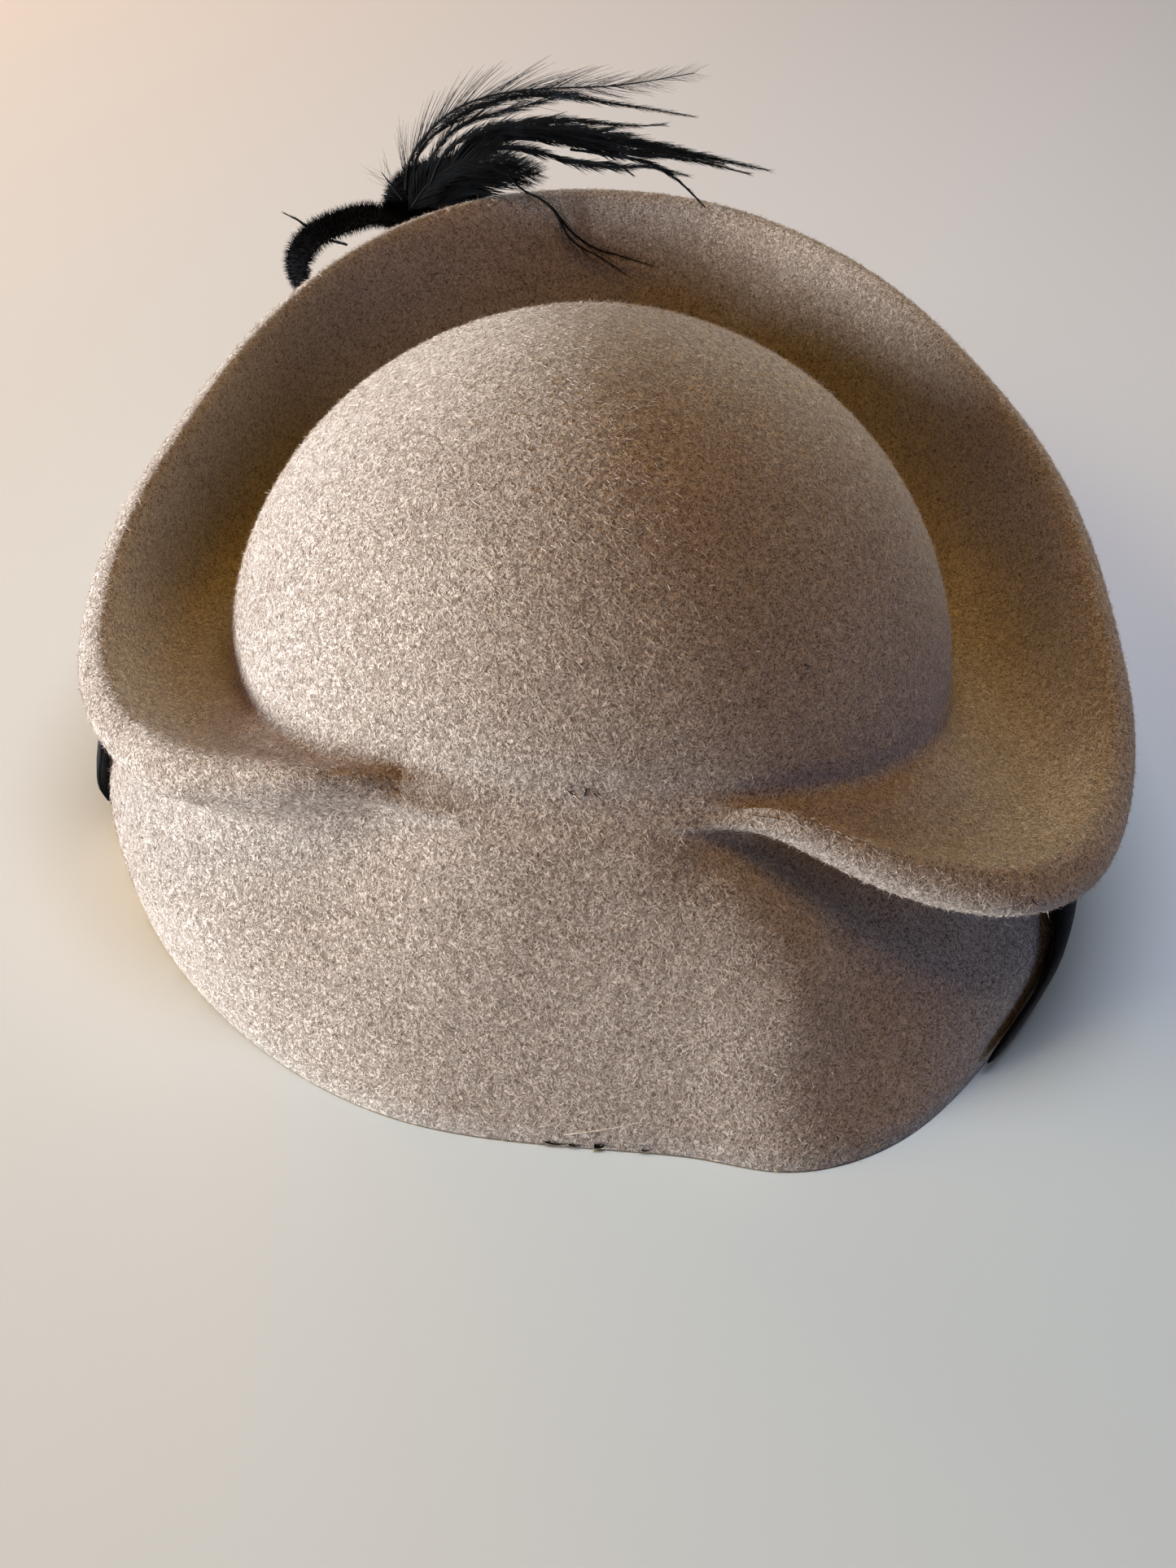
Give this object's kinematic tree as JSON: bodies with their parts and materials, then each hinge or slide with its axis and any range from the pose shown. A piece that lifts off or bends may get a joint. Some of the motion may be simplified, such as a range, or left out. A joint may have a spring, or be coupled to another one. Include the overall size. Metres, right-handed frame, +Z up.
{
  "type": "felt tilt hat",
  "caption": "Blocked felt tilt hat with a round crown, a rolled halo brim, a deep nape flap, a velvet band and bow, and a feather spray.",
  "frame": {"origin": "middle of the bounding box's underside, on the plane that the rim stands on", "axes": "+Z up out of the rim's plane, +Y towards the front of the hat, +X towards the wearer's right"},
  "size_m": [0.258, 0.293, 0.1312],
  "materials": {
    "velour_felt": "brushed velour, matt",
    "black_velvet": "deep pile, matt",
    "black_feather": "soft sheen"
  },
  "bodies": {
    "root": {"felt_hat": "velour_felt", "velvet_band": "black_velvet", "velvet_bow": "black_velvet", "feather_spray": "black_feather"}
  },
  "joints": []
}
